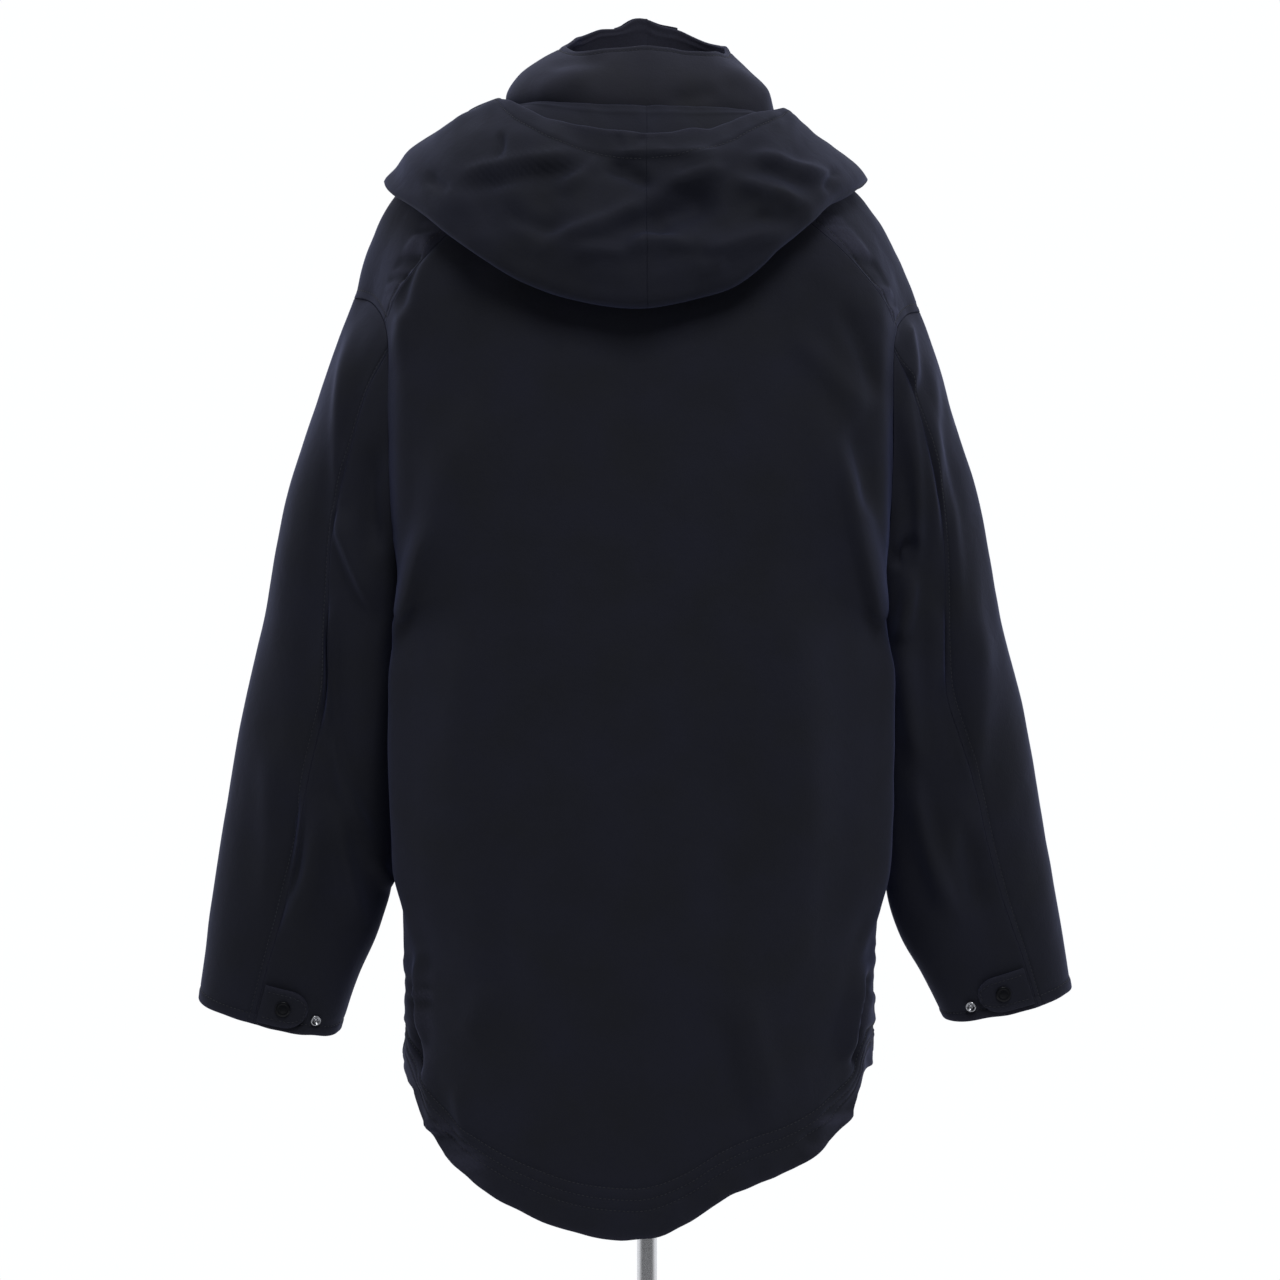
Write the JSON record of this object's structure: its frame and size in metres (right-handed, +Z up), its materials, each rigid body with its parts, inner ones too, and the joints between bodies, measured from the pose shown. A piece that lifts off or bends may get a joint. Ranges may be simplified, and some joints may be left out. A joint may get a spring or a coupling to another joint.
{
  "type": "hooded padded jacket on a limbless dress form with a pole and round base",
  "caption": "Thigh-length padded jacket with a stand collar, a hood lying back, long sleeves with cuff tabs and a fishtail back hem, on a pole-mounted dress form.",
  "frame": {"origin": "centre of the underside of the round base, where it rests on the floor", "axes": "+Z up along the pole; the jacket's front faces -Y and its back +Y; the wearer's left is +X"},
  "size_m": [0.749, 0.32, 1.5626],
  "materials": {
    "back_yoke": "brushed padded microfibre",
    "back_panel": "brushed padded microfibre",
    "front_left": "brushed padded microfibre",
    "front_right": "brushed padded microfibre",
    "collar": "brushed padded microfibre",
    "under_sleeve_left": "brushed padded microfibre",
    "upper_sleeve_left": "brushed padded microfibre",
    "under_sleeve_right": "brushed padded microfibre",
    "upper_sleeve_right": "brushed padded microfibre",
    "hood_left": "brushed padded microfibre",
    "hood_right": "brushed padded microfibre",
    "storm_flap": "brushed microfibre",
    "cuff_tab_left": "brushed microfibre",
    "cuff_tab_right": "brushed microfibre",
    "cuff_cap_left": "dark navy enamel snap cap",
    "cuff_cap_right": "dark navy enamel snap cap",
    "cuff_socket_left": "bare snap socket",
    "cuff_socket_right": "bare snap socket",
    "flap_cap_1": "dark navy enamel snap cap",
    "flap_cap_2": "dark navy enamel snap cap",
    "flap_cap_3": "dark navy enamel snap cap",
    "flap_cap_4": "dark navy enamel snap cap",
    "flap_cap_5": "dark navy enamel snap cap",
    "flap_cap_6": "dark navy enamel snap cap",
    "flap_cap_7": "dark navy enamel snap cap",
    "form_torso": "plain jersey cover",
    "form_pole": "polished",
    "form_base": "polished"
  },
  "bodies": {
    "root": {"back_yoke": "back_yoke", "back_panel": "back_panel", "front_left": "front_left", "front_right": "front_right", "collar": "collar", "under_sleeve_left": "under_sleeve_left", "upper_sleeve_left": "upper_sleeve_left", "under_sleeve_right": "under_sleeve_right", "upper_sleeve_right": "upper_sleeve_right", "hood_left": "hood_left", "hood_right": "hood_right", "storm_flap": "storm_flap", "cuff_tab_left": "cuff_tab_left", "cuff_tab_right": "cuff_tab_right", "cuff_cap_left": "cuff_cap_left", "cuff_cap_right": "cuff_cap_right", "cuff_socket_left": "cuff_socket_left", "cuff_socket_right": "cuff_socket_right", "flap_cap_1": "flap_cap_1", "flap_cap_2": "flap_cap_2", "flap_cap_3": "flap_cap_3", "flap_cap_4": "flap_cap_4", "flap_cap_5": "flap_cap_5", "flap_cap_6": "flap_cap_6", "flap_cap_7": "flap_cap_7", "form_torso": "form_torso", "form_pole": "form_pole", "form_base": "form_base"}
  },
  "joints": []
}
